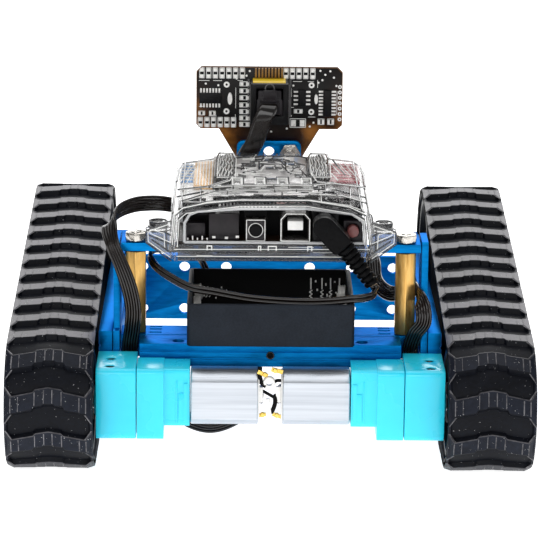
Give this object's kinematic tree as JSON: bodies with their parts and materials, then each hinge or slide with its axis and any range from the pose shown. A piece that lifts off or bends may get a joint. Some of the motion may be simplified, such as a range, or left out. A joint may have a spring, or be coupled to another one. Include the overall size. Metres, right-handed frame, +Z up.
{
  "type": "tracked robot vehicle",
  "caption": "Tracked robot kit: rubber tracks over pulleys, rear gear motors, aluminium beams, clear controller case, battery tray and a distance sensor on a mast.",
  "frame": {"origin": "on the ground, below the middle of the chassis", "axes": "+Z up, +Y the way the robot drives forward (the sensor's side), +X its right-hand side; the drive motors are at -Y"},
  "size_m": [0.1816, 0.2039, 0.1176],
  "materials": {
    "tread_rubber": "matt moulded tread, worn grey on the lug tops",
    "black_plastic": "moulded black plastic",
    "blue_anodised": "blue anodised aluminium",
    "nickel": "nickel-plated steel",
    "brass": "machined brass",
    "turquoise_plastic": "turquoise moulded plastic",
    "steel": "bright steel",
    "clear_plastic": "clear moulded plastic",
    "white_plastic": "white moulded plastic",
    "red_plastic": "dark red plastic",
    "circuit_board": "black solder mask",
    "cable_jacket": "black cable jacket"
  },
  "bodies": {
    "chassis": {"battery_lead": "cable_jacket", "battery_tray": "black_plastic", "case_bottom": "clear_plastic", "case_top": "clear_plastic", "controller_board": "circuit_board", "dc_jack": "black_plastic", "dc_plug": "black_plastic", "front_cross_plate": "blue_anodised", "left_brush_cap": "white_plastic", "left_case_bracket": "blue_anodised", "left_front_standoff": "brass", "left_gearbox_inner_shell": "turquoise_plastic", "left_gearbox_outer_shell": "turquoise_plastic", "left_motor_can": "steel", "left_motor_ribbon": "cable_jacket", "left_port_row": "white_plastic", "left_rear_standoff": "brass", "left_side_beam": "blue_anodised", "left_side_plate": "blue_anodised", "left_standoff_screw": "nickel", "left_track": "tread_rubber", "plug_strain_relief": "black_plastic", "power_switch": "nickel", "rear_cross_beam": "blue_anodised", "reset_switch": "nickel", "right_brush_cap": "white_plastic", "right_case_bracket": "blue_anodised", "right_front_standoff": "brass", "right_gearbox_inner_shell": "turquoise_plastic", "right_gearbox_outer_shell": "turquoise_plastic", "right_motor_can": "steel", "right_motor_ribbon": "cable_jacket", "right_port_row": "white_plastic", "right_rear_standoff": "brass", "right_side_beam": "blue_anodised", "right_side_plate": "blue_anodised", "right_standoff_screw": "nickel", "right_track": "tread_rubber", "sensor_board": "circuit_board", "sensor_cable": "cable_jacket", "sensor_eye_left": "steel", "sensor_eye_right": "steel", "sensor_mast": "blue_anodised", "sensor_plug": "black_plastic", "sensor_screw_left": "nickel", "sensor_screw_right": "nickel", "sensor_socket": "black_plastic", "usb_socket": "nickel"},
    "left_drive": {"left_drive_pulley": "black_plastic", "left_drive_shaft": "steel"},
    "right_drive": {"right_drive_pulley": "black_plastic", "right_drive_shaft": "steel"},
    "left_idler": {"left_idler_pulley": "black_plastic", "left_idler_axle": "steel"},
    "right_idler": {"right_idler_pulley": "black_plastic", "right_idler_axle": "steel"},
    "reset_key": {"reset_button": "black_plastic"},
    "power_key": {"power_button": "red_plastic"}
  },
  "joints": [
    {"name": "left_drive_spin", "type": "hinge", "parent": "chassis", "child": "left_drive", "pos_m": [0, -0.0782, 0.0238], "axis": [1, 0, 0], "continuous": true},
    {"name": "left_idler_spin", "type": "hinge", "parent": "chassis", "child": "left_idler", "pos_m": [0, 0.0687, 0.0333], "axis": [1, 0, 0], "continuous": true},
    {"name": "right_drive_spin", "type": "hinge", "parent": "chassis", "child": "right_drive", "pos_m": [0, -0.0782, 0.0238], "axis": [1, 0, 0], "continuous": true},
    {"name": "right_idler_spin", "type": "hinge", "parent": "chassis", "child": "right_idler", "pos_m": [0, 0.0687, 0.0333], "axis": [1, 0, 0], "continuous": true},
    {"name": "reset_press", "type": "slide", "parent": "chassis", "child": "reset_key", "axis": [0, 1, 0], "range_m": [0, 0.0005], "stiffness_N_per_m": 600, "springref_m": -0.0005},
    {"name": "power_press", "type": "slide", "parent": "chassis", "child": "power_key", "axis": [0, 1, 0], "range_m": [0, 0.0015], "stiffness_N_per_m": 400, "springref_m": -0.0005}
  ],
  "couplings": [
    {"joint": "left_drive_spin", "follows": "left_idler_spin", "ratio": 1.468},
    {"joint": "right_drive_spin", "follows": "right_idler_spin", "ratio": 1.468}
  ]
}
